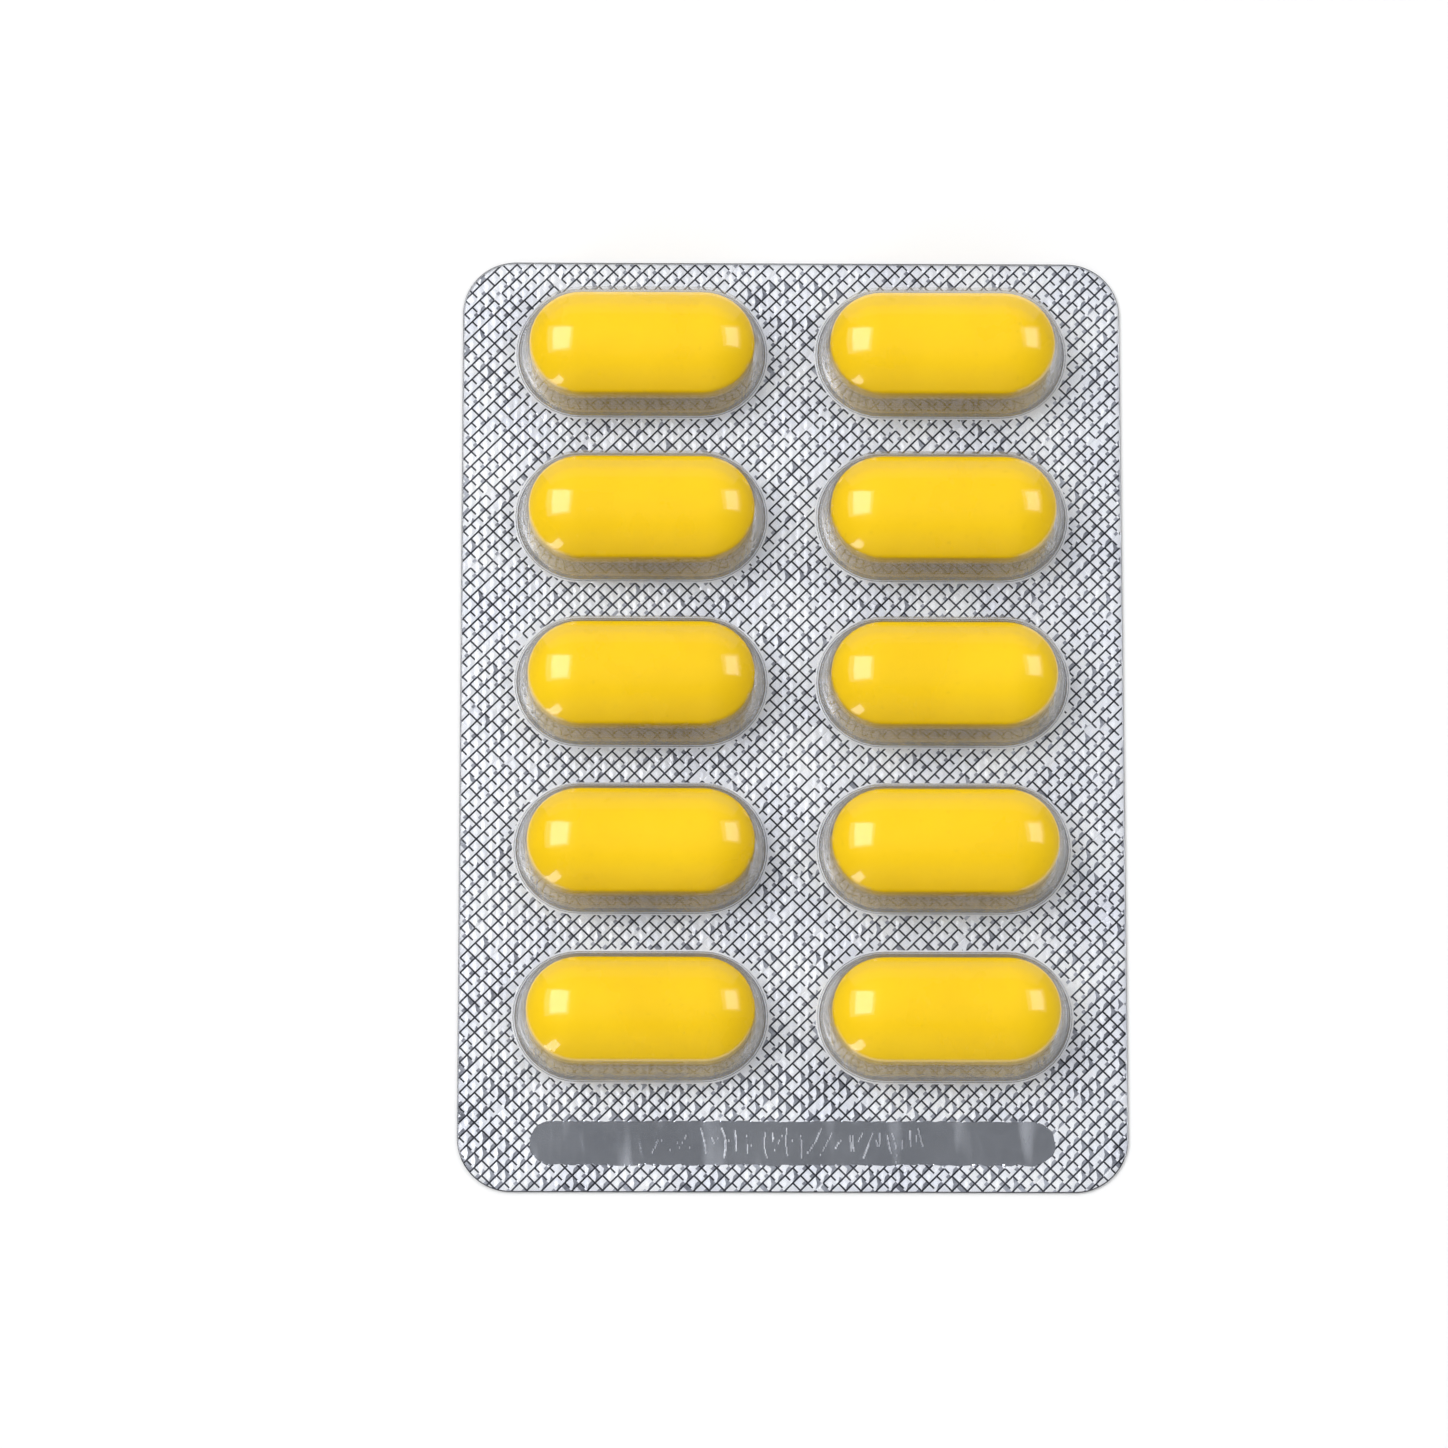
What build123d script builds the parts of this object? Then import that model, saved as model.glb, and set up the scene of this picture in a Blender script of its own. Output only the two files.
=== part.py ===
from build123d import *
import os
from math import radians, tan

# Pill blister pack: a clear thermoformed web with two columns of five pockets,
# a coated caplet in every pocket and a hard aluminium lidding foil sealed to
# the back. The pack lies on its foil, +Z out of the pockets, +X across the two
# columns and +Y up the rows, away from the plain strip at the foot.
# The origin is the middle of the card on the underside of the foil.

# ---- card ---------------------------------------------------------------
card_w = 56.0          # across the columns
card_h = 80.0          # along the rows
corner_r = 4.5         # die-cut corners
foil_t = 0.03          # lidding foil with its lacquer
web_t = 0.25           # forming film left flat between the pockets

# ---- caplet -------------------------------------------------------------
tablet_l = 19.1
tablet_w = 8.8
tablet_t = 6.2
tablet_band = 2.4      # straight side wall between the two domes
tablet_edge_r = 0.35   # softened by the film coat
tablet_dome = (tablet_t - tablet_band) / 2

# ---- pocket layout ------------------------------------------------------
columns, rows = 2, 5
pitch_x, pitch_y = 25.5, 14.3
array_y = 3.4          # the pockets sit above the middle, clear of the strip

# ---- pocket form --------------------------------------------------------
half_straight = (tablet_l - tablet_w) / 2   # from the centre to each end's axis
wall_t = 0.2           # drawn film, thinner than the web
mouth_half = 5.05      # inner half width at the web
draft = 5.4            # wall lean, degrees
roof_clear = 0.37      # air over the caplet's crown
roof_r = 6.3           # inner crown radius across the pocket
shoulder_r = 1.4       # wall to crown, inside
flare_out_r = 0.4      # wall to web, outside
flare_in_r = 0.6       # wall to web, inside

web_z = foil_t
web_top = foil_t + web_t
roof_in = foil_t + tablet_t + roof_clear
roof_out = roof_in + wall_t

os.makedirs("parts", exist_ok=True)

pocket_centres = [
    ((c - (columns - 1) / 2) * pitch_x, array_y + ((rows - 1) / 2 - r) * pitch_y)
    for r in range(rows)
    for c in range(columns)
]


def lean(z):
    """How far the wall has leant in at height z."""
    return (z - web_z) * tan(radians(draft))


def crown_height(y, apex, radius):
    """Height of the crown arc at y from the pocket's middle."""
    return apex - radius + (radius**2 - y**2) ** 0.5


def meet(half, apex, radius):
    """Height at which the leaning wall meets the crown arc."""
    z = apex - 2.0
    for _ in range(60):
        z = crown_height(half - lean(z), apex, radius)
    return z


def pocket_form(foot_z, base_z, half, apex, radius, shoulder, flare):
    """A pocket's solid form: a thin foot between base_z and foot_z, a flare,
    leaning walls, a rounded shoulder and a crown, run along the straight
    middle and turned full circle at both ends."""
    top_z = meet(half, apex, radius)
    top_y = half - lean(top_z)
    wall_y = half - lean(foot_z)
    foot_y = wall_y + flare + 0.15
    with BuildPart() as end:
        with BuildSketch(Plane.YZ) as half_section:
            with BuildLine():
                Polyline(
                    (0, apex), (0, base_z), (foot_y, base_z),
                    (foot_y, foot_z), (wall_y, foot_z), (top_y, top_z),
                )
                ThreePointArc(
                    (top_y, top_z),
                    (top_y / 2, crown_height(top_y / 2, apex, radius)),
                    (0, apex),
                )
            make_face()
            corners = half_section.vertices()
            fillet(corners.sort_by_distance((top_y, top_z, 0))[0], shoulder)
            corners = half_section.vertices()
            fillet(corners.sort_by_distance((wall_y, foot_z, 0))[0], flare)
        revolve(axis=Axis.Z, revolution_arc=360)
    with BuildPart() as form:
        with BuildSketch(Plane.YZ.offset(-half_straight)) as section:
            with BuildLine():
                Polyline(
                    (-top_y, top_z), (-wall_y, foot_z), (-foot_y, foot_z),
                    (-foot_y, base_z), (foot_y, base_z), (foot_y, foot_z),
                    (wall_y, foot_z), (top_y, top_z),
                )
                ThreePointArc((top_y, top_z), (0, apex), (-top_y, top_z))
            make_face()
            fillet(section.vertices().group_by(Axis.Y)[-1], shoulder)
            for side in (-1, 1):
                corners = section.vertices()
                fillet(
                    corners.sort_by_distance((side * wall_y, foot_z, 0))[0],
                    flare,
                )
        extrude(amount=2 * half_straight)
        with Locations((half_straight, 0, 0), (-half_straight, 0, 0)):
            add(end.part)
    return form.part


# Space inside one pocket, and its outer skin one drawn thickness further out.
pocket_space = pocket_form(
    web_z, web_z - 0.5, mouth_half, roof_in, roof_r, shoulder_r, flare_in_r
)
pocket_skin = pocket_form(
    web_top, web_z, mouth_half + wall_t, roof_out, roof_r + wall_t,
    shoulder_r + wall_t, flare_out_r,
)

# =========================================================================
# Forming film: one clear sheet, its ten pockets drawn up out of the web.
# =========================================================================
with BuildPart() as forming_film:
    with BuildSketch(Plane.XY.offset(web_z)):
        RectangleRounded(card_w, card_h, corner_r)
    extrude(amount=web_t)
    with Locations(*[(x, y, 0) for x, y in pocket_centres]):
        add(pocket_skin)
    with Locations(*[(x, y, 0) for x, y in pocket_centres]):
        add(pocket_space, mode=Mode.SUBTRACT)

forming_film.part.label = "forming_film"
export_step(forming_film.part, "parts/forming_film.step")

# =========================================================================
# Lidding foil: hard aluminium, cut with the film in one stroke of the die.
# =========================================================================
with BuildPart() as lidding_foil:
    with BuildSketch():
        RectangleRounded(card_w, card_h, corner_r)
    extrude(amount=foil_t)

lidding_foil.part.label = "lidding_foil"
export_step(lidding_foil.part, "parts/lidding_foil.step")

# =========================================================================
# Caplet: capsule outline, a domed face each side and a straight band between.
# =========================================================================
dome_r = ((tablet_w / 2) ** 2 + tablet_dome**2) / (2 * tablet_dome)
half_w = tablet_w / 2
mid_w = half_w / 2
mid_drop = dome_r - (dome_r**2 - mid_w**2) ** 0.5

band_top = tablet_dome + tablet_band

with BuildPart() as caplet_end:
    with BuildSketch(Plane.YZ) as caplet_half:
        with BuildLine():
            ThreePointArc((0, 0), (mid_w, mid_drop), (half_w, tablet_dome))
            Line((half_w, tablet_dome), (half_w, band_top))
            ThreePointArc(
                (half_w, band_top), (mid_w, tablet_t - mid_drop), (0, tablet_t)
            )
            Line((0, tablet_t), (0, 0))
        make_face()
        fillet(caplet_half.vertices().group_by(Axis.X)[-1], tablet_edge_r)
    revolve(axis=Axis.Z, revolution_arc=360)

with BuildPart() as caplet:
    with BuildSketch(Plane.YZ.offset(-half_straight)) as caplet_section:
        with BuildLine():
            ThreePointArc((-half_w, tablet_dome), (0, 0), (half_w, tablet_dome))
            Line((half_w, tablet_dome), (half_w, band_top))
            ThreePointArc((half_w, band_top), (0, tablet_t), (-half_w, band_top))
            Line((-half_w, band_top), (-half_w, tablet_dome))
        make_face()
        fillet(caplet_section.vertices(), tablet_edge_r)
    extrude(amount=2 * half_straight)
    with Locations((half_straight, 0, 0), (-half_straight, 0, 0)):
        add(caplet_end.part)

# Each caplet lies on the foil in its own pocket. Left and right are as seen
# from above with the plain strip at the foot; row 1 is the far end.
for index, (x, y) in enumerate(pocket_centres):
    side = "left" if x < 0 else "right"
    name = f"tablet_{side}_{index // columns + 1}"
    with BuildPart() as tablet:
        with Locations((x, y, foil_t)):
            add(caplet.part)
    tablet.part.label = name
    export_step(tablet.part, f"parts/{name}.step")
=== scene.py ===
import math

import bpy
import numpy as np
from mathutils import Matrix, Vector


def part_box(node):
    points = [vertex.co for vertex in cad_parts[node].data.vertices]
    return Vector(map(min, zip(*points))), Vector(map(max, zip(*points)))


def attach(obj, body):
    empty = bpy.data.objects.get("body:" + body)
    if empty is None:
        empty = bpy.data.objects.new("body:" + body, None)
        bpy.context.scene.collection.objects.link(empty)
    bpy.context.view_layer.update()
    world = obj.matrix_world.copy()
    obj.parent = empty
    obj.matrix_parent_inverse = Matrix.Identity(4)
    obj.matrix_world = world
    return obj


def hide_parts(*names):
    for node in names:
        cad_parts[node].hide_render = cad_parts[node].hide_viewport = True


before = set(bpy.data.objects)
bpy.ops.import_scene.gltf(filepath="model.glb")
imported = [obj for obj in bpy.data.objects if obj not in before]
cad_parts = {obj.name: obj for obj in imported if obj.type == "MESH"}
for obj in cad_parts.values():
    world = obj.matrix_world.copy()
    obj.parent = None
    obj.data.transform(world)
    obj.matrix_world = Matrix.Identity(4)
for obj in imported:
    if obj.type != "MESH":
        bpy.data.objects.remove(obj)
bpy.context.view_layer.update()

# Everything below is worked out in millimetres and written in metres.
MM = 0.001
rng = np.random.default_rng(20)


def node_box(name):
    lo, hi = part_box(name)
    return np.array(lo) / MM, np.array(hi) / MM


foil_lo, foil_hi = node_box("lidding_foil")
film_lo, film_hi = node_box("forming_film")
card_w, card_h = foil_hi[0] - foil_lo[0], foil_hi[1] - foil_lo[1]
foil_t = foil_hi[2] - foil_lo[2]
corner_r = 4.5
web_top = foil_t + 0.25

tablet_names = sorted(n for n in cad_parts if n.startswith("tablet_"))
t_lo, t_hi = node_box(tablet_names[0])
tab_l, tab_w, tab_t = t_hi - t_lo
hs = (tab_l - tab_w) / 2  # half of the straight middle of a pocket or tablet
pockets = []
for name in tablet_names:
    lo, hi = node_box(name)
    pockets.append((name, (lo[0] + hi[0]) / 2, (lo[1] + hi[1]) / 2))

# Pocket form, as in the frame.
WALL = 0.2
MOUTH = 5.05
LEAN = math.tan(math.radians(5.4))
ROOF_OUT = film_hi[2]
ROOF_IN = ROOF_OUT - WALL
ROOF_R = 6.3
SHOULDER = 1.4
BORDER = 5.68  # the seal pattern starts this far from a pocket's middle line

# Plain strip at the foot.
STRIP_Y, STRIP_HS, STRIP_R = -35.86, 20.1, 1.85

# Seal pattern.
PITCH = 0.895
RELIEF = 0.085
MARGIN = 0.09  # the die leaves a plain rim this wide


# --------------------------------------------------------------------------
# Small tools
# --------------------------------------------------------------------------
def value_noise(seed, n=256):
    table = np.random.default_rng(seed).random((n, n))

    def f(x, y):
        xi, yi = np.floor(x).astype(int), np.floor(y).astype(int)
        tx, ty = x - xi, y - yi
        tx, ty = tx * tx * (3 - 2 * tx), ty * ty * (3 - 2 * ty)
        g = lambda a, b: table[a % n, b % n]
        return (
            g(xi, yi) * (1 - tx) * (1 - ty)
            + g(xi + 1, yi) * tx * (1 - ty)
            + g(xi, yi + 1) * (1 - tx) * ty
            + g(xi + 1, yi + 1) * tx * ty
        ) * 2 - 1

    return f


noise_a, noise_b, noise_c = value_noise(1), value_noise(2), value_noise(3)


def smoothstep(a, b, x):
    t = np.clip((x - a) / (b - a), 0, 1)
    return t * t * (3 - 2 * t)


def sd_stadium(x, y, half, r):
    return np.hypot(np.maximum(np.abs(x) - half, 0), y) - r


def sd_card(x, y):
    qx = np.abs(x) - (card_w / 2 - corner_r)
    qy = np.abs(y) - (card_h / 2 - corner_r)
    return (
        np.hypot(np.maximum(qx, 0), np.maximum(qy, 0))
        + np.minimum(np.maximum(qx, qy), 0)
        - corner_r
    )


def features(x, y):
    """Signed distances out of each pocket, the strip, and in from the card's edge."""
    d = [sd_stadium(x - cx, y - cy, hs, BORDER) for _, cx, cy in pockets]
    ragged = 0.10 * noise_a(x * 1.6 + 40, y * 0.9 + 7)
    d.append(sd_stadium(x, y - STRIP_Y, STRIP_HS, STRIP_R) + ragged)
    d.append(-sd_card(x, y) - MARGIN)
    return d


def region(x, y):
    return np.minimum.reduce(features(x, y))


def stadium_s(x, y, half, r):
    """Way along a stadium, counter-clockwise from its upper right corner."""
    s = np.where(y >= 0, half - x, 2 * half + math.pi * r + (x + half))
    left = np.arctan2(y, x + half) % (2 * math.pi)
    s = np.where(x < -half, 2 * half + r * (left - math.pi / 2), s)
    right = np.arctan2(y, x - half)
    return np.where(x > half, 4 * half + math.pi * r + r * (right + math.pi / 2), s)


class Sheet:
    """Vertices and faces of one surface, gathered bit by bit."""

    def __init__(self):
        self.v, self.f, self.m, self.s = [], [], [], []
        self.n = 0

    def add_v(self, pts):
        pts = np.asarray(pts, float).reshape(-1, 3)
        self.v.append(pts)
        ids = np.arange(self.n, self.n + len(pts))
        self.n += len(pts)
        return ids

    def add_f(self, faces, mat=0, smooth=True, flip=False):
        for f in faces:
            f = [int(i) for i in f]
            self.f.append(f[::-1] if flip else f)
            self.m.append(mat)
            self.s.append(smooth)

    def zip(self, outer, s_out, inner, s_in, total, mat=0, smooth=True, flip=False):
        """Triangles between two closed loops, both ordered by way s."""
        o, i = np.argsort(s_out), np.argsort(s_in)
        outer, s_out = np.asarray(outer)[o], np.asarray(s_out)[o]
        inner, s_in = np.asarray(inner)[i], np.asarray(s_in)[i]
        no, ni = len(outer), len(inner)
        a = b = 0
        faces = []
        while a < no or b < ni:
            next_o = s_out[a + 1] if a + 1 < no else s_out[(a + 1) % no] + total
            next_i = s_in[b + 1] if b + 1 < ni else s_in[(b + 1) % ni] + total
            if b >= ni or (a < no and next_o <= next_i):
                faces.append((outer[a % no], outer[(a + 1) % no], inner[b % ni]))
                a += 1
            else:
                faces.append((outer[a % no], inner[(b + 1) % ni], inner[b % ni]))
                b += 1
        self.add_f(faces, mat, smooth, flip)

    def mesh(self, name, mats):
        me = bpy.data.meshes.new(name)
        me.from_pydata((np.concatenate(self.v) * MM).tolist(), [], self.f)
        me.polygons.foreach_set("material_index", np.array(self.m, np.int32))
        me.polygons.foreach_set("use_smooth", np.array(self.s, bool))
        for m in mats:
            me.materials.append(m)
        me.validate()
        me.update()
        ob = bpy.data.objects.new(name, me)
        bpy.context.scene.collection.objects.link(ob)
        return ob


# --------------------------------------------------------------------------
# Seal pattern: a square lattice on the diagonal, cut to the sealed region
# --------------------------------------------------------------------------
def knurl(sheet, fa, fb, height, mat, smooth, flip, tones=None):
    """Adds the sealed region and returns each feature's edge loop."""
    na, nb = len(fa), len(fb)
    reach = int((card_w + card_h) / 2 / math.sqrt(2) / PITCH) + 2
    base = np.arange(-reach, reach + 1) * PITCH
    la = (base[:, None] + np.array(fa)[None, :] * PITCH).ravel()
    lb = (base[:, None] + np.array(fb)[None, :] * PITCH).ravel()
    A, B = np.meshgrid(la, lb, indexing="ij")
    bend_a = 0.03 * noise_a(A * 0.11 + 9, B * 0.11)
    bend_b = 0.03 * noise_b(A * 0.11, B * 0.11 + 5)
    X = (A + bend_a - B - bend_b) / math.sqrt(2)
    Y = (A + bend_a + B + bend_b) / math.sqrt(2)
    D = region(X, Y)
    D[np.abs(D) < 0.012] = -1e-6
    n = len(lb)
    I, J = np.meshgrid(np.arange(len(la)), np.arange(n), indexing="ij")
    H = height(I // na, J // nb, I % na, J % nb, X, Y)
    quads = np.stack(
        [
            (I * n + J)[:-1, :-1].ravel(),
            (I * n + J)[1:, :-1].ravel(),
            (I * n + J)[1:, 1:].ravel(),
            (I * n + J)[:-1, 1:].ravel(),
        ],
        1,
    )
    x, y, d, h = X.ravel(), Y.ravel(), D.ravel(), H.ravel()
    inside = d[quads] > 0
    pick = inside.all(1)
    cut = inside.any(1) & ~pick
    full, part = quads[pick], quads[cut]
    tone = np.full(len(quads), mat)
    if tones is not None:
        k = np.s_[:-1, :-1]
        tone = tones((I // na)[k], (J // nb)[k], (I % na)[k], (J % nb)[k], X[k], Y[k]).ravel()
    tone_full, tone_part = tone[pick], tone[cut]

    # where the lattice's edges cross the region's edge
    cuts = {}
    for q in part:
        for k in range(4):
            a, b = int(q[k]), int(q[(k + 1) % 4])
            if (d[a] > 0) != (d[b] > 0):
                cuts.setdefault((min(a, b), max(a, b)), len(cuts))
    pairs = np.array(list(cuts.keys()))
    a, b = pairs[:, 0], pairs[:, 1]
    swap = d[a] <= 0
    a, b = np.where(swap, b, a), np.where(swap, a, b)
    lo, hi = np.zeros(len(a)), np.ones(len(a))
    for _ in range(18):
        mid = (lo + hi) / 2
        dm = region(x[a] + (x[b] - x[a]) * mid, y[a] + (y[b] - y[a]) * mid)
        lo, hi = np.where(dm > 0, mid, lo), np.where(dm > 0, hi, mid)
    t = (lo + hi) / 2
    cx, cy = x[a] + (x[b] - x[a]) * t, y[a] + (y[b] - y[a]) * t
    ch = h[a] + (h[b] - h[a]) * t
    which = np.argmin(np.abs(np.stack(features(cx, cy))), 0)

    used = np.unique(np.concatenate([full.ravel(), part[d[part] > 0].ravel()]))
    new = np.full(len(x), -1)
    new[used] = sheet.add_v(np.stack([x[used], y[used], h[used]], 1))
    cut_ids = sheet.add_v(np.stack([cx, cy, ch], 1))
    for t in np.unique(tone_full % 10):
        sheet.add_f(new[full[tone_full == t]], int(t), smooth, flip)
        # tones above 10 are cells cut corner to corner, half of them in the base tone
        halves = new[full[tone_full == t + 10]]
        sheet.add_f(halves[:, [0, 1, 2]], int(t), smooth, flip)
        sheet.add_f(halves[:, [0, 2, 3]], mat, smooth, flip)
    for q, t in zip(part, tone_part):
        poly = []
        for k in range(4):
            p, r = int(q[k]), int(q[(k + 1) % 4])
            if d[p] > 0:
                poly.append(new[p])
            if (d[p] > 0) != (d[r] > 0):
                poly.append(cut_ids[cuts[(min(p, r), max(p, r))]])
        if len(poly) > 2:
            sheet.add_f([poly], int(t % 10), smooth, flip)
    loops = []
    for k in range(len(pockets) + 2):
        sel = np.nonzero(which == k)[0]
        loops.append((cut_ids[sel], cx[sel], cy[sel]))
    return loops


def ring_points(r, ns=30, na=20):
    """Points round a stadium of radius r, counter-clockwise, with their way s."""
    xs = np.linspace(hs, -hs, ns + 1)
    al = np.linspace(math.pi / 2, 3 * math.pi / 2, na + 1)[1:-1]
    ar = np.linspace(-math.pi / 2, math.pi / 2, na + 1)[1:-1]
    px = np.concatenate([xs, -hs + r * np.cos(al), xs[::-1], hs + r * np.cos(ar)])
    py = np.concatenate(
        [np.full(ns + 1, r), r * np.sin(al), np.full(ns + 1, -r), r * np.sin(ar)]
    )
    s = np.concatenate(
        [
            hs - xs,
            2 * hs + BORDER * (al - math.pi / 2),
            2 * hs + math.pi * BORDER + xs[::-1] + hs,
            4 * hs + math.pi * BORDER + BORDER * (ar + math.pi / 2),
        ]
    )
    return px, py, s


def rings(
    sheet, cx, cy, profile, mat=0, smooth=True, flip=False, warp=None, close=True, bands=None
):
    """Stacks stadium rings along a profile of (radius, height), outermost first."""
    ns, na = 30, 20
    ids = []
    for r, z in profile:
        px, py, s = ring_points(r, ns, na)
        zz = np.full(len(px), float(z))
        if warp is not None:
            zz = zz + warp(px + cx, py + cy, r)
        ids.append(sheet.add_v(np.stack([px + cx, py + cy, zz], 1)))
    m = len(ids[0])
    k = np.arange(m)
    for b, (o, i) in enumerate(zip(ids[:-1], ids[1:])):
        tone = bands[b] if bands is not None and b < len(bands) else mat
        sheet.add_f(
            np.stack([o[k], o[(k + 1) % m], i[(k + 1) % m], i[k]], 1), tone, smooth, flip
        )
    if close:
        last = ids[-1]
        top = last[: ns + 1]
        left = last[ns + 1 : ns + na]
        low = last[ns + na : 2 * ns + na + 1][::-1]
        right = last[2 * ns + na + 1 :]
        for j in range(ns):
            sheet.add_f([(top[j], top[j + 1], low[j + 1], low[j])], mat, smooth, flip)
        sheet.add_f([[top[-1], *left, low[-1]]], mat, smooth, flip)
        sheet.add_f([[low[0], *right, top[0]]], mat, smooth, flip)
    return ids[0], s


def stitch_pocket(sheet, loop, cx, cy, first, s_ring, **kw):
    ids, x, y = loop
    s = stadium_s(x - cx, y - cy, hs, BORDER)
    sheet.zip(ids, s, first, s_ring, 4 * hs + 2 * math.pi * BORDER, **kw)


def strip_patch(sheet, loop, height, nx, ny, mat, smooth, flip, marks=None):
    """The plain strip: a fine grid inside the stadium, zipped to the lattice."""
    half, r = STRIP_HS, STRIP_R - 0.16
    u = np.linspace(-1, 1, nx + 1)
    reach = half + r
    xs = reach * np.where(
        np.abs(u) > 0.97, np.sign(u) * (1 - (1 - np.abs(u)) ** 1.25 * 0.03**-0.25), u
    )
    xs = np.clip(xs, -(reach - 0.02), reach - 0.02)
    hy = np.sqrt(np.maximum(r * r - np.maximum(np.abs(xs) - half, 0) ** 2, 0.0))
    v = np.linspace(-1, 1, ny + 1)
    X = np.repeat(xs[:, None], ny + 1, 1)
    Y = hy[:, None] * v[None, :] + STRIP_Y
    Z = height(X, Y)
    ids = sheet.add_v(np.stack([X, Y, Z], 2)).reshape(nx + 1, ny + 1)
    q = np.stack(
        [ids[:-1, :-1], ids[1:, :-1], ids[1:, 1:], ids[:-1, 1:]], 2
    ).reshape(-1, 4)
    if marks is None:
        sheet.add_f(q, mat, smooth, flip)
    else:
        mx, my = X.ravel()[q - ids[0, 0]].mean(1), Y.ravel()[q - ids[0, 0]].mean(1)
        # faces on the strokes take the paler score tone: painted highlight
        lit = marks(mx, my) > 0.5
        sheet.add_f(q[~lit], mat, smooth, flip)
        sheet.add_f(q[lit], 6, smooth, flip)
    edge = np.concatenate(
        [ids[::-1, ny], ids[0, ny - 1 :: -1], ids[1:, 0], ids[nx, 1:ny]]
    )
    flat_x = X.ravel()[edge - ids[0, 0]]
    flat_y = Y.ravel()[edge - ids[0, 0]]
    total = 4 * half + 2 * math.pi * STRIP_R
    s_in = stadium_s(flat_x, flat_y - STRIP_Y, half, STRIP_R)
    lid, x, y = loop
    s_out = stadium_s(x, y - STRIP_Y, half, STRIP_R)
    sheet.zip(lid, s_out, edge, s_in, total, mat=mat, smooth=smooth, flip=flip)


def card_angle(x, y):
    return np.arctan2(y, x) % (2 * math.pi)


def rim_ring(sheet, z, drop=0.0):
    """The card's true outline as a closed loop at height z."""
    pts = []
    hx, hy = card_w / 2 - corner_r, card_h / 2 - corner_r
    r = corner_r - drop
    corners = ((hx, hy, 0), (-hx, hy, 90), (-hx, -hy, 180), (hx, -hy, 270))
    for k, (qx, qy, a0) in enumerate(corners):
        for a in np.linspace(a0, a0 + 90, 25):
            t = math.radians(a)
            pts.append((qx + r * math.cos(t), qy + r * math.sin(t)))
        nx_, ny_, na_ = corners[(k + 1) % 4]
        t = math.radians(a0 + 90)
        p, q = np.array(pts[-1]), np.array((nx_ + r * math.cos(t), ny_ + r * math.sin(t)))
        for f in np.linspace(0, 1, 61)[1:-1]:
            pts.append(tuple(p + (q - p) * f))
    pts = np.array(pts)
    ids = sheet.add_v(np.column_stack([pts, np.full(len(pts), z)]))
    return ids, card_angle(pts[:, 0], pts[:, 1])


def close_rim(sheet, loop_top, loop_low, heights, mat_top, mat_low, mat_rim, smooth):
    """Plain die-cut rim: out to the true outline, down the edge and back in."""
    (ti, tx, ty), (bi, bx, by) = loop_top, loop_low
    ids = [rim_ring(sheet, z, drop) for z, drop in heights]
    sheet.zip(ids[0][0], ids[0][1], ti, card_angle(tx, ty), 2 * math.pi, mat_top, smooth)
    sheet.zip(
        ids[-1][0], ids[-1][1], bi, card_angle(bx, by), 2 * math.pi, mat_low, smooth, True
    )
    m = len(ids[0][0])
    k = np.arange(m)
    for (o, _), (i, _) in zip(ids[1:], ids[:-1]):
        sheet.add_f(
            np.stack([o[k], o[(k + 1) % m], i[(k + 1) % m], i[k]], 1), mat_rim, smooth
        )


# --------------------------------------------------------------------------
# Materials
# --------------------------------------------------------------------------
def material(name):
    m = bpy.data.materials.new(name)
    m.use_nodes = True
    nt = m.node_tree
    nt.nodes.clear()
    return m, nt, nt.nodes.new("ShaderNodeOutputMaterial")


def node(nt, kind, **values):
    n = nt.nodes.new(kind)
    for k, v in values.items():
        if k in n.inputs:
            n.inputs[k].default_value = v
        else:
            setattr(n, k, v)
    return n


def ramp(nt, stops):
    r = nt.nodes.new("ShaderNodeValToRGB")
    e = r.color_ramp.elements
    while len(e) < len(stops):
        e.new(0.5)
    for el, (p, c) in zip(e, stops):
        el.position = p
        el.color = (*c, 1) if len(c) == 3 else c
    return r


def noise(nt, coord, scale, detail=3.0, rough=0.5):
    n = node(nt, "ShaderNodeTexNoise", Scale=scale, Detail=detail, Roughness=rough)
    nt.links.new(coord, n.inputs["Vector"])
    return n


def bump(nt, height, strength, distance, normal=None):
    b = node(nt, "ShaderNodeBump", Strength=strength, Distance=distance)
    nt.links.new(height, b.inputs["Height"])
    if normal is not None:
        nt.links.new(normal, b.inputs["Normal"])
    return b


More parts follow.
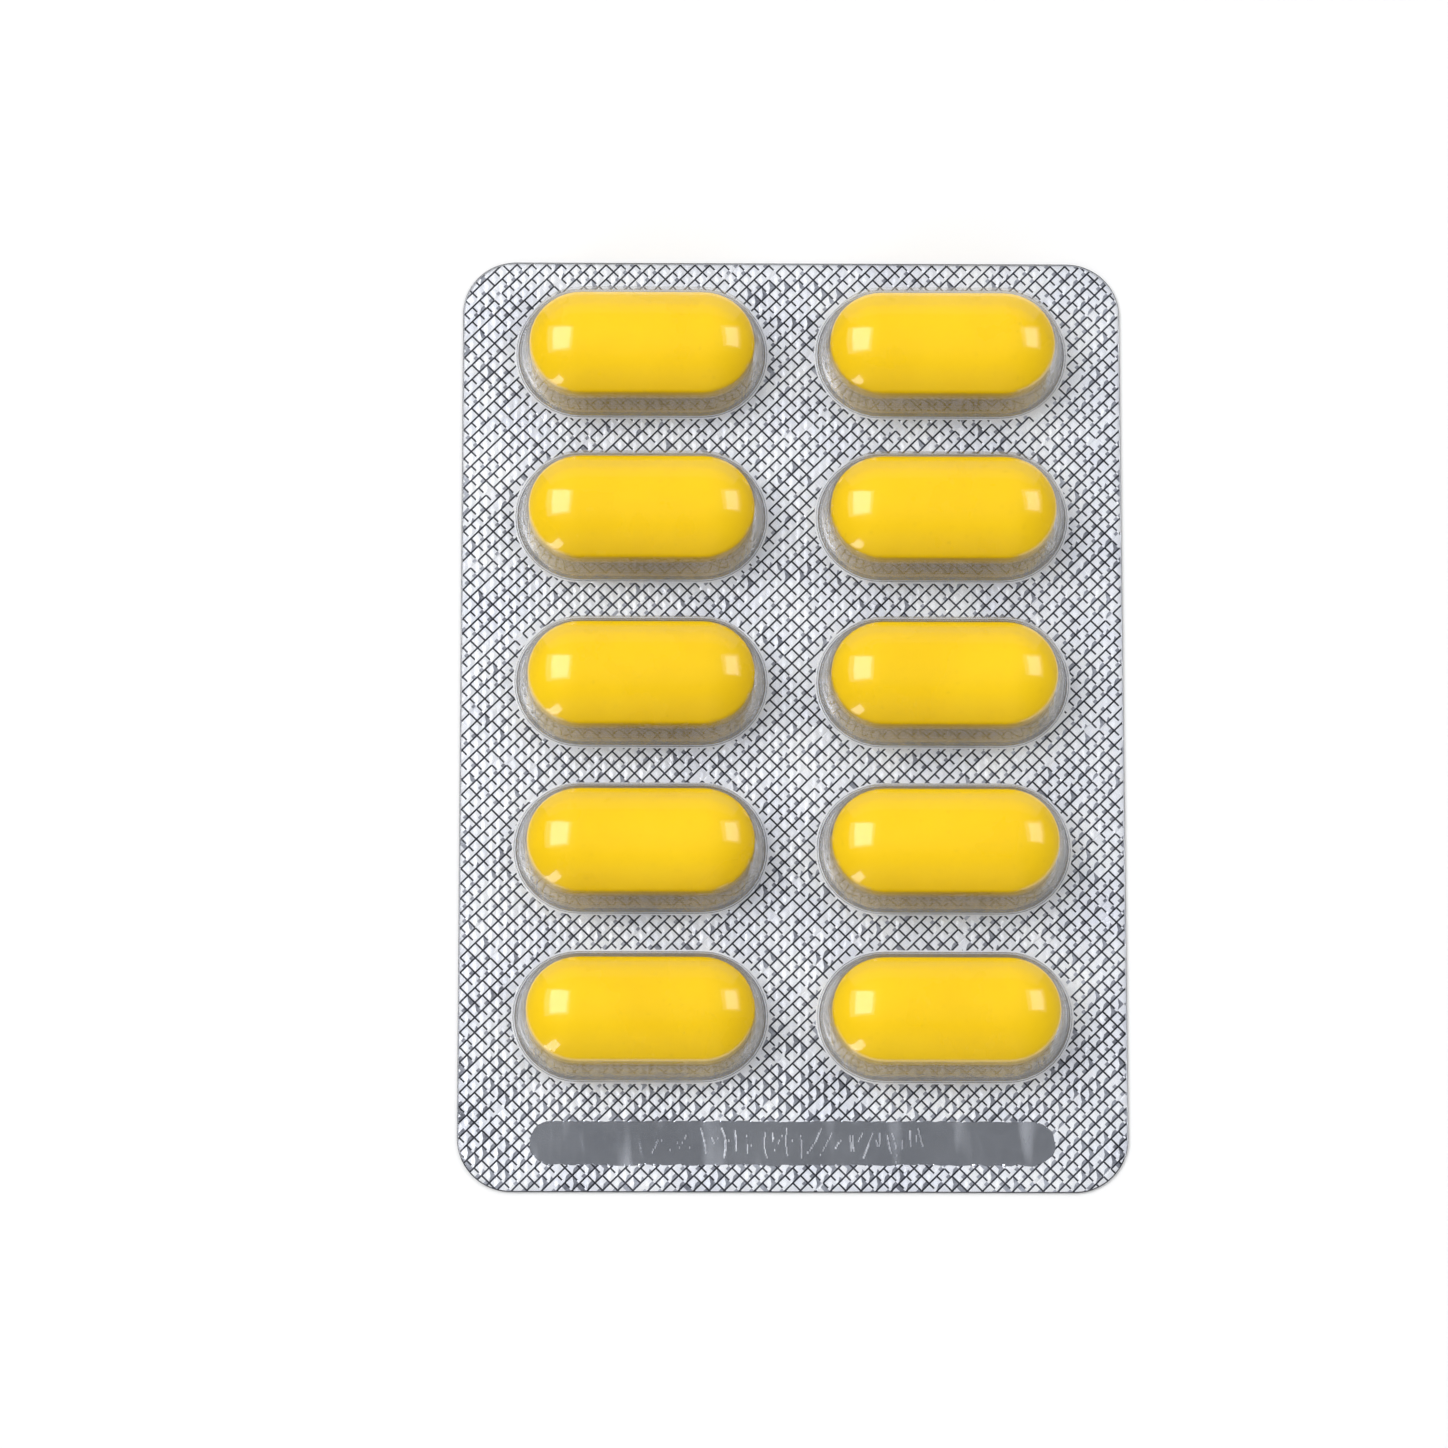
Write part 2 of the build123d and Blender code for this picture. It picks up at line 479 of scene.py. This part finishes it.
def make_foil(
    name, rough_lo, rough_hi, tone_lo, tone_hi, grain, grain_depth, wave, metal=1.0, smear=False
):
    m, nt, out = material(name)
    L = nt.links.new
    co = nt.nodes.new("ShaderNodeTexCoord").outputs["Object"]
    p = node(nt, "ShaderNodeBsdfPrincipled", Metallic=metal)
    big = noise(nt, co, 160, 3)
    fine = noise(nt, co, grain, 4, 0.6)
    tone = ramp(nt, [(0.3, tone_lo), (0.7, tone_hi)])
    mixed = node(nt, "ShaderNodeMath", operation="MULTIPLY_ADD")
    L(fine.outputs["Fac"], mixed.inputs[0])
    mixed.inputs[1].default_value = 0.6
    L(big.outputs["Fac"], mixed.inputs[2])
    shifted = node(nt, "ShaderNodeMath", operation="SUBTRACT")
    L(mixed.outputs[0], shifted.inputs[0])
    shifted.inputs[1].default_value = 0.3
    L(shifted.outputs[0], tone.inputs["Fac"])
    L(tone.outputs["Color"], p.inputs["Base Color"])
    rr = node(nt, "ShaderNodeMapRange")
    rr.inputs["To Min"].default_value = rough_lo
    rr.inputs["To Max"].default_value = rough_hi
    L(big.outputs["Fac"], rr.inputs["Value"])
    L(rr.outputs["Result"], p.inputs["Roughness"])
    b = bump(nt, fine.outputs["Fac"], 1.0, grain_depth)
    if wave:
        scratch = node(nt, "ShaderNodeMapping")
        scratch.inputs["Scale"].default_value = (1.0, 0.08, 1.0)
        L(co, scratch.inputs["Vector"])
        lines = noise(nt, scratch.outputs["Vector"], 900, 3, 0.6)
        b2 = bump(nt, lines.outputs["Fac"], 1.0, wave, b.outputs["Normal"])
        L(b2.outputs["Normal"], p.inputs["Normal"])
    else:
        L(b.outputs["Normal"], p.inputs["Normal"])
    if smear:
        # pale upright smears where the strip was rubbed
        stretch = node(nt, "ShaderNodeMapping")
        stretch.inputs["Scale"].default_value = (1.0, 0.22, 1.0)
        L(co, stretch.inputs["Vector"])
        patch = noise(nt, stretch.outputs["Vector"], 380, 2, 0.4)
        dull = ramp(nt, [(0.56, (metal, metal, metal)), (0.74, (metal - 0.24,) * 3)])
        L(patch.outputs["Fac"], dull.inputs["Fac"])
        L(dull.outputs["Color"], p.inputs["Metallic"])
    L(p.outputs["BSDF"], out.inputs["Surface"])
    return m


foil_sealed = make_foil(
    "foil_sealed", 0.22, 0.38, (0.88, 0.90, 0.98), (0.985, 0.99, 1.0), 3200, 0.00003, 0, 0.42
)
# painted shade: near-black foil laid into the seal pattern's grooves, along the bottom rim and on the foil's cut edge,
# where these fall in shade
foil_groove_painted_shade = make_foil(
    "foil_groove_painted_shade", 0.34, 0.50, (0.022, 0.024, 0.032), (0.075, 0.079, 0.098), 3200, 0.00003, 0, 0.6
)
# painted shade: darker foil for cell facets facing away from the light and for the ring at each pocket's foot
foil_facet_painted_shade = make_foil(
    "foil_facet_painted_shade", 0.25, 0.45, (0.20, 0.21, 0.25), (0.56, 0.58, 0.65), 4200, 0.00003, 0, 0.55
)
# painted highlight: paler, less metallic foil on the pressed strokes, standing in for the light they catch
foil_score_painted_highlight = make_foil(
    "foil_score_painted_highlight", 0.24, 0.40, (0.42, 0.43, 0.48), (0.88, 0.90, 0.95), 5200, 0.00003, 0, 0.5
)
foil_plain = make_foil(
    "foil_plain", 0.10, 0.20, (0.72, 0.745, 0.81), (0.84, 0.865, 0.93), 1200, 0.000012, 0.00002, 0.90, True
)
foil_pocket = make_foil(
    "foil_pocket", 0.08, 0.20, (0.78, 0.78, 0.80), (0.92, 0.92, 0.94), 1200, 0.00002, 0.00004, 0.85
)
foil_back = make_foil(
    "foil_back", 0.30, 0.45, (0.74, 0.75, 0.77), (0.88, 0.885, 0.90), 2600, 0.00002, 0, 0.85
)


def make_painted_edge_shadow():
    """The die-cut edge of the film, painted dark: a painted shadow for the shade along the card's edge."""
    m, nt, out = material("film_edge_painted_shadow")
    L = nt.links.new
    co = nt.nodes.new("ShaderNodeTexCoord").outputs["Object"]
    p = node(nt, "ShaderNodeBsdfPrincipled", Roughness=0.4)
    n = noise(nt, co, 1500, 3)
    tone = ramp(nt, [(0.3, (0.035, 0.037, 0.042)), (0.7, (0.12, 0.125, 0.14))])
    L(n.outputs["Fac"], tone.inputs["Fac"])
    L(tone.outputs["Color"], p.inputs["Base Color"])
    L(p.outputs["BSDF"], out.inputs["Surface"])
    return m


film_edge_shadow_paint = make_painted_edge_shadow()


def make_film():
    m, nt, out = material("clear_film")
    L = nt.links.new
    co = nt.nodes.new("ShaderNodeTexCoord").outputs["Object"]
    haze = noise(nt, co, 90, 3)
    fine = noise(nt, co, 700, 3)
    clear = node(nt, "ShaderNodeBsdfTransparent")
    tint = ramp(nt, [(0.35, (0.988, 0.991, 0.996)), (0.7, (0.994, 0.996, 0.999))])
    L(haze.outputs["Fac"], tint.inputs["Fac"])
    L(tint.outputs["Color"], clear.inputs["Color"])
    gloss = node(nt, "ShaderNodeBsdfAnisotropic")
    gloss.inputs["Color"].default_value = (0.96, 0.97, 1.0, 1)
    rr = node(nt, "ShaderNodeMapRange")
    rr.inputs["To Min"].default_value = 0.02
    rr.inputs["To Max"].default_value = 0.06
    L(haze.outputs["Fac"], rr.inputs["Value"])
    L(rr.outputs["Result"], gloss.inputs["Roughness"])
    b = bump(nt, fine.outputs["Fac"], 0.6, 0.000012)
    L(b.outputs["Normal"], gloss.inputs["Normal"])
    fres = node(nt, "ShaderNodeFresnel", IOR=1.36)
    cap = node(nt, "ShaderNodeMath", operation="MINIMUM")
    L(fres.outputs[0], cap.inputs[0])
    cap.inputs[1].default_value = 0.14
    # drawn film looks milky where it is seen edge on
    milk = node(nt, "ShaderNodeBsdfDiffuse")
    milk.inputs["Color"].default_value = (0.72, 0.75, 0.80, 1)
    facing = node(nt, "ShaderNodeLayerWeight", Blend=0.5)
    edge = ramp(nt, [(0.55, (0, 0, 0)), (0.80, (0.08, 0.08, 0.08)), (1.0, (0.38, 0.38, 0.38))])
    L(facing.outputs["Facing"], edge.inputs["Fac"])
    body = nt.nodes.new("ShaderNodeMixShader")
    L(edge.outputs["Color"], body.inputs[0])
    L(clear.outputs[0], body.inputs[1])
    L(milk.outputs[0], body.inputs[2])
    mix = nt.nodes.new("ShaderNodeMixShader")
    L(cap.outputs[0], mix.inputs[0])
    L(body.outputs[0], mix.inputs[1])
    L(gloss.outputs[0], mix.inputs[2])
    L(mix.outputs[0], out.inputs["Surface"])
    return m


film_mat = make_film()


def make_coat():
    m, nt, out = material("tablet_coat")
    L = nt.links.new
    co = nt.nodes.new("ShaderNodeTexCoord").outputs["Object"]
    p = node(nt, "ShaderNodeBsdfPrincipled")
    cloud = noise(nt, co, 120, 4, 0.55)
    speck = noise(nt, co, 2600, 2, 0.5)
    tone = ramp(
        nt, [(0.3, (0.86, 0.545, 0.002)), (0.55, (0.90, 0.580, 0.003)), (0.8, (0.92, 0.610, 0.004))]
    )
    L(cloud.outputs["Fac"], tone.inputs["Fac"])
    dots = ramp(nt, [(0.0, (0.80, 0.74, 0.60)), (0.27, (0.93, 0.92, 0.88)), (0.36, (1, 1, 1))])
    L(speck.outputs["Fac"], dots.inputs["Fac"])
    mul = node(nt, "ShaderNodeMix", data_type="RGBA", blend_type="MULTIPLY")
    mul.inputs[0].default_value = 1.0
    L(tone.outputs["Color"], mul.inputs[6])
    L(dots.outputs["Color"], mul.inputs[7])
    L(mul.outputs[2], p.inputs["Base Color"])
    rr = node(nt, "ShaderNodeMapRange")
    rr.inputs["To Min"].default_value = 0.22
    rr.inputs["To Max"].default_value = 0.34
    L(cloud.outputs["Fac"], rr.inputs["Value"])
    L(rr.outputs["Result"], p.inputs["Roughness"])
    peel = noise(nt, co, 900, 3, 0.5)
    b = bump(nt, peel.outputs["Fac"], 0.6, 0.00002)
    L(b.outputs["Normal"], p.inputs["Normal"])
    p.inputs["Specular IOR Level"].default_value = 0.22
    p.inputs["Coat Weight"].default_value = 0.12
    p.inputs["Coat Roughness"].default_value = 0.12
    L(p.outputs["BSDF"], out.inputs["Surface"])
    return m


coat_mat = make_coat()


# --------------------------------------------------------------------------
# Lidding foil
# --------------------------------------------------------------------------
N = 260
lift = rng.random((N, N))
lean_u = rng.normal(0, 1, (N, N))
lean_v = rng.normal(0, 1, (N, N))
cut_u = rng.random((N, N))
cut_v = rng.random((N, N))
facet_shade_pick = rng.random((N, N))


def fade(x, y):
    d = features(x, y)
    near = np.minimum.reduce(d[: len(pockets)])
    rough = 0.25 * noise_b(x * 1.1, y * 1.1)
    f = 0.35 + 0.65 * smoothstep(-0.1, 0.9, near + rough)
    return f * (0.55 + 0.45 * smoothstep(0.0, 0.35, d[-1]))


def seal_height(fa, fb):
    def h(ci, cj, fi, fj, x, y):
        ci, cj = ci % N, cj % N
        u = np.array(fa)[fi] - 0.5
        v = np.array(fb)[fj] - 0.5
        body = 0.46 + 0.54 * (1 - np.maximum(np.abs(u), np.abs(v)) / 0.415)
        body = body + 0.14 * (lift[ci, cj] - 0.5)
        body = body + 0.16 * (lean_u[ci, cj] * u + lean_v[ci, cj] * v)
        gu = np.where(np.abs(v) > 0.3, 0.35, 0.05) * (0.5 + cut_u[ci, cj])
        gv = 0.10 * cut_v[ci, cj]
        out = np.where((fi == 0) & (fj != 0), gu, body)
        out = np.where((fj == 0) & (fi != 0), gv, out)
        out = np.where((fi == 0) & (fj == 0), 0.0, out)
        return np.clip(out, 0, 1.15) * fade(x, y)

    return h


TOP_A, TOP_B = (0.0, 0.082, 0.54, 0.918), (0.0, 0.082, 0.36, 0.918)
LOW_A = LOW_B = (0.0, 0.5)


def seal_tones(ci, cj, fi, fj, x, y):
    """0 light pillow, 3 pressed groove painted near-black as painted shade, 5 or 15 a facet painted darker as painted
    shade where it faces away from the light, more often towards the bottom and the right.
    One family of grooves runs on, the other stops short of it."""
    c, e = ci % N, cj % N
    c1, e1 = (ci + 1) % N, (cj + 1) % N
    long_line = ((fj == 0) & (cut_v[c, e] < 0.965)) | ((fj == 3) & (cut_v[c, e1] < 0.965))
    stop = lambda q: (fj > 1) | ((fj == 1) & (q < 0.30))
    dash = ((fi == 0) & stop(cut_u[c, e]) & (cut_u[c, e] < 0.95)) | (
        (fi == 3) & stop(cut_u[c1, e]) & (cut_u[c1, e] < 0.95)
    )
    # painted facet shade grows towards the bottom and the right
    low = smoothstep(-20.0, -36.0, y)
    east = 0.35 * smoothstep(12.0, 27.0, x)
    pick, other = facet_shade_pick[c, e], facet_shade_pick[e, c]
    out = np.zeros_like(fi)
    right, under, crown = (fi == 2) & (fj == 1), (fi == 1) & (fj == 1), (fi == 2) & (fj == 2)
    out = np.where(right & (pick < 0.42 + east + 0.40 * low), 5, out)
    out = np.where(under & (other < 0.16 + 0.5 * east + 0.52 * low), 15, out)
    out = np.where(crown & (pick + other < 0.36 + 0.42 * low), 15, out)
    return np.where(long_line | dash, 3, out)


def foil_top_h(ci, cj, fi, fj, x, y):
    return foil_t + RELIEF * seal_height(TOP_A, TOP_B)(ci, cj, fi, fj, x, y)


def foil_low_h(ci, cj, fi, fj, x, y):
    return RELIEF * 0.98 * seal_height(LOW_A, LOW_B)(ci, cj, fi, fj, x, y)


def strokes(x, y):
    """Generic slanting strokes and dots pressed in the plain strip."""
    r = np.random.default_rng(5)
    z = np.zeros_like(x)
    for k in range(40):
        px = -11.4 + k * 0.57 + r.normal(0, 0.14)
        py = STRIP_Y + r.normal(0, 0.30)
        ln = r.choice([0.06, 0.35, 0.7, 1.0, 1.2]) * r.uniform(0.8, 1.1)
        an = r.choice([1.571, 1.571, 1.62, 1.1, 1.05, 1.85, 1.70]) + r.normal(0, 0.06)
        dx, dy = math.cos(an), math.sin(an)
        t = np.clip((x - px) * dx + (y - py) * dy, -ln, ln)
        bow = r.normal(0, 0.13) * (t * t - ln * ln / 2)
        d2 = (x - px - t * dx - bow * dy) ** 2 + (y - py - t * dy + bow * dx) ** 2
        z = np.maximum(z, r.uniform(0.45, 1.0) * np.exp(-d2 / 0.0040))
    return z


def strip_top(x, y):
    z = foil_t + 0.035
    z = z + 0.006 * noise_c(x * 0.9, y * 0.15 + 3) + 0.0025 * noise_a(x * 3.1, y * 0.5)
    for px, py, w, lean_ in ((-17.4, 0.1, 0.34, 0.25), (-14.4, 0.2, 0.26, -0.1), (-12.6, -0.3, 0.15, 0.2), (13.9, 0.4, 0.26, 0.0), (15.8, 0.0, 0.20, 0.3)):
        t = y - STRIP_Y - py
        z = z + 0.022 * np.exp(-(((x - px + lean_ * t) / w) ** 2) - (t / 1.0) ** 4)
    return z + 0.026 * strokes(x, y)


def strip_low(x, y):
    return 0.035 + 0.006 * noise_c(x * 0.9, y * 0.15 + 3)


def wrinkle(x, y, r):
    w = smoothstep(5.6, 4.9, r) * smoothstep(0.95, 2.4, r)  # flat where the tablet lies
    return w * (0.010 * noise_a(x * 1.3, y * 2.2) + 0.006 * noise_b(x * 3.1, y * 3.7))


foil_profile = [(5.61, 0.020), (5.54, 0.014), (5.48, 0.010), (5.40, 0.004), (5.25, 0.006), (5.0, 0.008), (4.6, 0.012)] + [
    (r, 0.012 if r > 2.5 else 0.0) for r in (4.2, 3.7, 2.9, 1.9, 0.9, 0.25)
]

foil = Sheet()
loops_t = knurl(foil, TOP_A, TOP_B, foil_top_h, 0, False, False, seal_tones)
for (name, cx, cy), loop in zip(pockets, loops_t):
    # the second band at each pocket's foot takes the darker facet tone: a painted shade ring where the film meets the
    # foil
    first, s = rings(
        foil, cx, cy, [(r, foil_t + z) for r, z in foil_profile], 4, True, False, wrinkle,
        bands=[0, 5, 0],
    )
    stitch_pocket(foil, loop, cx, cy, first, s, mat=0, smooth=True)
strip_patch(foil, loops_t[-2], strip_top, 560, 17, 1, True, False, strokes)
loops_b = knurl(foil, LOW_A, LOW_B, foil_low_h, 2, False, True)
for (name, cx, cy), loop in zip(pockets, loops_b):
    first, s = rings(
        foil, cx, cy, [(r, 0.7 * z) for r, z in foil_profile], 2, True, True
    )
    stitch_pocket(foil, loop, cx, cy, first, s, mat=2, smooth=True, flip=True)
strip_patch(foil, loops_b[-2], strip_low, 120, 4, 2, True, True)
# the foil's cut edge takes the dark groove tone: painted shade on the edge
close_rim(
    foil, loops_t[-1], loops_b[-1], [(foil_t + 0.02, 0.01), (0.02, 0.0), (0.0, 0.01)], 0, 2, 3, False
)
foil_ob = foil.mesh("seal_foil", [foil_sealed, foil_plain, foil_back, foil_groove_painted_shade, foil_pocket, foil_facet_painted_shade, foil_score_painted_highlight])
# the plain rim along the strip end is painted in the dark groove tone: a painted shadow line along the card's bottom
# edge
me = foil_ob.data
mid = np.empty(len(me.polygons) * 3)
up = np.empty(len(me.polygons) * 3)
slot = np.empty(len(me.polygons), dtype=np.int32)
me.polygons.foreach_get("center", mid)
me.polygons.foreach_get("normal", up)
me.polygons.foreach_get("material_index", slot)
mid = mid.reshape(-1, 3) * 1000.0
bottom_rim_shadow_mask = (up.reshape(-1, 3)[:, 2] > 0.3) & (mid[:, 1] < -37.1)
bottom_rim_shadow_mask &= sd_card(mid[:, 0], mid[:, 1]) > -0.078
slot[bottom_rim_shadow_mask] = 3
me.polygons.foreach_set("material_index", slot)
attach(foil_ob, "root")
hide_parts("lidding_foil")


# --------------------------------------------------------------------------
# Clear forming film
# --------------------------------------------------------------------------
def meet(half, apex, radius):
    z = apex - 2.0
    for _ in range(60):
        y = half - (z - foil_t) * LEAN
        z = apex - radius + math.sqrt(radius**2 - y**2)
    return half - (z - foil_t) * LEAN, z


def skin_profile(half, foot_z, apex, radius, shoulder, flare):
    """Section of a pocket from its foot to its crown as (radius, height)."""
    wy = half - (foot_z - foil_t) * LEAN
    phi = math.atan(LEAN)
    # flare: an arc tangent to the web and to the leaning wall
    reach = flare * math.tan((math.pi / 2 - phi) / 2)
    fx, fz = wy + reach, foot_z + flare
    pts = []
    for a in np.linspace(0, 1, 7):
        t = -math.pi / 2 - a * (math.pi / 2 - phi)
        pts.append((fx + flare * math.cos(t), fz + flare * math.sin(t)))
    # shoulder: an arc tangent to the wall and to the crown
    ty, tz = meet(half, apex, radius)
    cz = apex - radius
    inner = radius - shoulder
    # centre at a distance shoulder inside the wall line and inner from the crown's centre
    n = (math.cos(phi), math.sin(phi))
    w0 = (half, foil_t)
    lo, hi = 0.0, tz
    for _ in range(50):
        m = (lo + hi) / 2
        px = w0[0] - (m - foil_t) * LEAN - shoulder * n[0]
        pz = m - shoulder * n[1]
        if math.hypot(px, pz - cz) < inner:
            lo = m
        else:
            hi = m
    px = w0[0] - (lo - foil_t) * LEAN - shoulder * n[0]
    pz = lo - shoulder * n[1]
    for f in (0.2, 0.4, 0.6, 0.8):
        z = pts[6][1] + (lo - pts[6][1]) * f
        pts.append((half - (z - foil_t) * LEAN, z))
    a0, a1 = math.atan2(n[1], n[0]), math.atan2(pz - cz, px)
    for a in np.linspace(0, 1, 9):
        t = a0 + a * (a1 - a0)
        pts.append((px + shoulder * math.cos(t), pz + shoulder * math.sin(t)))
    y_end = pts[-1][0]
    for f in (0.82, 0.64, 0.46, 0.28, 0.14, 0.06):
        y = y_end * f
        pts.append((y, cz + math.sqrt(radius**2 - y * y)))
    return pts


FILM_LOW = foil_t + RELIEF * 1.15 + 0.012


def film_top_h(ci, cj, fi, fj, x, y):
    raised = np.where((fi == 0) | (fj == 0), 0.0, 1.0)
    d = features(x, y)
    near = np.minimum.reduce(d[: len(pockets)])
    f = smoothstep(0.0, 0.6, near) * smoothstep(0.0, 0.3, d[-1])
    return web_top - 0.016 * f * (1 - raised) + 0.003 * noise_c(x * 0.35, y * 0.35)


def film_low_h(ci, cj, fi, fj, x, y):
    return np.full_like(x, FILM_LOW)


def strip_film(x, y):
    return web_top - 0.012 + 0.003 * noise_c(x * 0.6, y * 0.2)


def sag(x, y, r):
    w = smoothstep(5.3, 4.9, r) * smoothstep(0.0, 3.0, r)
    return w * 0.02 * noise_c(x * 0.22, y * 0.3 + 11)


film = Sheet()
loops_t = knurl(film, (0.0, 0.5), (0.0, 0.5), film_top_h, 0, True, False)
outer = skin_profile(MOUTH + WALL, web_top, ROOF_OUT, ROOF_R + WALL, SHOULDER + WALL, 0.4)
outer = [(5.65, web_top), (5.61, web_top + 0.030), (5.57, web_top + 0.002)] + [
    p for p in outer if p[0] < 5.54
]
inner = skin_profile(MOUTH, foil_t, ROOF_IN, ROOF_R, SHOULDER, 0.35)
inner = [(5.62, FILM_LOW - 0.01), (5.52, foil_t + 0.04)] + [
    (r, z + 0.02 if z < foil_t + 0.1 else z) for r, z in inner if r < 5.42
]
for (name, cx, cy), loop in zip(pockets, loops_t):
    first, s = rings(film, cx, cy, outer, 0, True, False)
    stitch_pocket(film, loop, cx, cy, first, s)
strip_patch(film, loops_t[-2], strip_film, 160, 5, 0, True, False)
loops_b = knurl(film, (0.0,), (0.0,), film_low_h, 0, True, True)
for (name, cx, cy), loop in zip(pockets, loops_b):
    first, s = rings(film, cx, cy, inner, 0, True, True)
    stitch_pocket(film, loop, cx, cy, first, s, flip=True)
strip_patch(
    film, loops_b[-2], lambda x, y: np.full_like(x, FILM_LOW), 60, 2, 0, True, True
)
# the film's cut edge takes the dark edge material: painted shadow along the card's outline
close_rim(
    film,
    loops_t[-1],
    loops_b[-1],
    [(web_top - 0.012, 0.035), (web_top - 0.05, 0.0), (FILM_LOW - 0.03, 0.0), (FILM_LOW - 0.05, 0.02)],
    0, 0, 1, False,
)
film_ob = film.mesh("formed_film", [film_mat, film_edge_shadow_paint])
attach(film_ob, "root")
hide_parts("forming_film")


# --------------------------------------------------------------------------
# Tablets
# --------------------------------------------------------------------------
def tablet_profile():
    band = 2.4
    dome = (tab_t - band) / 2
    half = tab_w / 2
    R = (half**2 + dome**2) / (2 * dome)
    edge = 0.35
    pts = []
    a_end = math.asin((half - 0.3) / R)
    for a in np.linspace(a_end, 0.045, 14):
        pts.append((R * math.sin(a), tab_t - R + R * math.cos(a)))
    # rounded edge between the band and the dome
    x0, z0 = pts[0]
    tan_dome = -math.tan(a_end)
    zb = tab_t - dome - 0.22
    p0, p2 = np.array([half, zb]), np.array([x0, z0])
    p1 = np.array([half, z0 + (half - x0) * tan_dome])
    curve = [
        tuple((1 - t) ** 2 * p0 + 2 * t * (1 - t) * p1 + t * t * p2)
        for t in np.linspace(0, 1, 7)[:-1]
    ]
    upper = curve + pts
    lower = [(r, tab_t - z) for r, z in upper]
    return lower[::-1], upper


low_p, up_p = tablet_profile()
for name, cx, cy in pockets:
    lo, hi = node_box(name)
    tab = Sheet()
    ns, na = 30, 20
    prof = low_p[::-1]
    # one skin from the middle of the underside round the band to the crown
    all_p = list(reversed(prof)) + up_p
    ids = []
    for r, z in all_p:
        px, py, _ = ring_points(r, ns, na)
        ids.append(tab.add_v(np.stack([px + cx, py + cy, np.full(len(px), z + lo[2])], 1)))
    m = len(ids[0])
    k = np.arange(m)
    for o, i in zip(ids[:-1], ids[1:]):
        tab.add_f(np.stack([o[k], o[(k + 1) % m], i[(k + 1) % m], i[k]], 1))
    for last, flip in ((ids[-1], False), (ids[0], True)):
        top, left = last[: ns + 1], last[ns + 1 : ns + na]
        low, right = last[ns + na : 2 * ns + na + 1][::-1], last[2 * ns + na + 1 :]
        for j in range(ns):
            tab.add_f([(top[j], top[j + 1], low[j + 1], low[j])], flip=flip)
        tab.add_f([[top[-1], *left, low[-1]]], flip=flip)
        tab.add_f([[low[0], *right, top[0]]], flip=flip)
    ob = tab.mesh("coated_" + name, [coat_mat])
    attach(ob, "root")
    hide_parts(name)


# --------------------------------------------------------------------------
# Floor, light and camera
# --------------------------------------------------------------------------
m, nt, out = material("pale_floor")
p = node(nt, "ShaderNodeBsdfPrincipled", Roughness=0.75)
co = nt.nodes.new("ShaderNodeTexCoord").outputs["Object"]
fl = noise(nt, co, 6, 3)
rp = ramp(nt, [(0.3, (0.782, 0.782, 0.785)), (0.7, (0.795, 0.795, 0.797))])
nt.links.new(fl.outputs["Fac"], rp.inputs["Fac"])
nt.links.new(rp.outputs["Color"], p.inputs["Base Color"])
p.inputs["Specular IOR Level"].default_value = 0.1
nt.links.new(p.outputs["BSDF"], out.inputs["Surface"])
me = bpy.data.meshes.new("floor")
s = 1.6
me.from_pydata([(-s, -s, 0), (s, -s, 0), (s, s, 0), (-s, s, 0)], [], [(0, 1, 2, 3)])
me.materials.append(m)
floor = bpy.data.objects.new("floor", me)
floor.location = (0, 0, -0.00002)
bpy.context.scene.collection.objects.link(floor)

world = bpy.data.worlds.new("studio")
bpy.context.scene.world = world
world.use_nodes = True
bg = world.node_tree.nodes["Background"]
bg.inputs["Color"].default_value = (0.93, 0.96, 1.0, 1)
bg.inputs["Strength"].default_value = 0.12


def softbox(name, direction, distance, w, h, radiance, colour=(1, 1, 1), fill=False):
    """An area light of the given brightness, facing the pack, upright towards +Y.
    A fill light brightens matt surfaces and leaves no reflection."""
    d = Vector(direction).normalized()
    up = Vector((0, 0, 1)) if abs(d.y) > 0.8 else Vector((0, 1, 0))
    side = up.cross(d).normalized()
    up = d.cross(side).normalized()
    data = bpy.data.lights.new(name, "AREA")
    data.shape = "RECTANGLE"
    data.size, data.size_y = w, h
    data.energy = radiance * math.pi * w * h
    data.color = colour
    ob = bpy.data.objects.new(name, data)
    turn = Matrix((side, up, d)).transposed()
    ob.matrix_world = Matrix.Translation(d * distance) @ turn.to_4x4()
    bpy.context.scene.collection.objects.link(ob)
    if fill:
        ob.visible_glossy = False
    return ob


softbox("left_box", (-0.525, 0.21, 0.825), 1.2, 0.56, 0.72, 3.1)
softbox("left_veil", (-0.56, 0.20, 0.80), 1.21, 0.86, 0.86, 1.1)
softbox("right_box", (0.70, 0.27, 0.66), 1.3, 0.44, 0.60, 2.3)
softbox("right_veil", (0.69, 0.28, 0.66), 1.31, 0.70, 0.74, 0.8)
softbox("back_panel", (0.0, 0.92, 0.32), 1.4, 2.6, 0.98, 0.22)
softbox("rim_left", (-0.62, -0.74, 0.24), 1.3, 0.80, 0.26, 3.6)
softbox("fill_top", (-0.12, 0.40, 1.0), 1.5, 2.4, 2.4, 1.38, fill=True)
softbox("fill_front", (0.0, -0.80, 0.60), 1.6, 1.8, 1.2, 1.05, fill=True)

cam = bpy.data.cameras.new("camera")
cam.sensor_width = 36.0
cam.lens = 7107.0 / 1448.0 * 36.0
cam_ob = bpy.data.objects.new("camera", cam)
ex, ey, ez = math.radians(-11.59), math.radians(0.76), math.radians(-0.16)
world_to_cam = (
    Matrix.Rotation(ez, 3, "Z") @ Matrix.Rotation(ey, 3, "Y") @ Matrix.Rotation(ex, 3, "X")
)
cam_ob.matrix_world = (
    Matrix.Translation(Vector((-13.7, -120.7, 587.7)) * MM)
    @ world_to_cam.transposed().to_4x4()
)
cam.clip_start, cam.clip_end = 0.05, 10
bpy.context.scene.collection.objects.link(cam_ob)
bpy.context.scene.camera = cam_ob

bpy.context.scene.view_settings.view_transform = "Standard"
bpy.context.scene.view_settings.look = "None"
bpy.context.scene.view_settings.exposure = 0.0

bpy.context.view_layer.update()
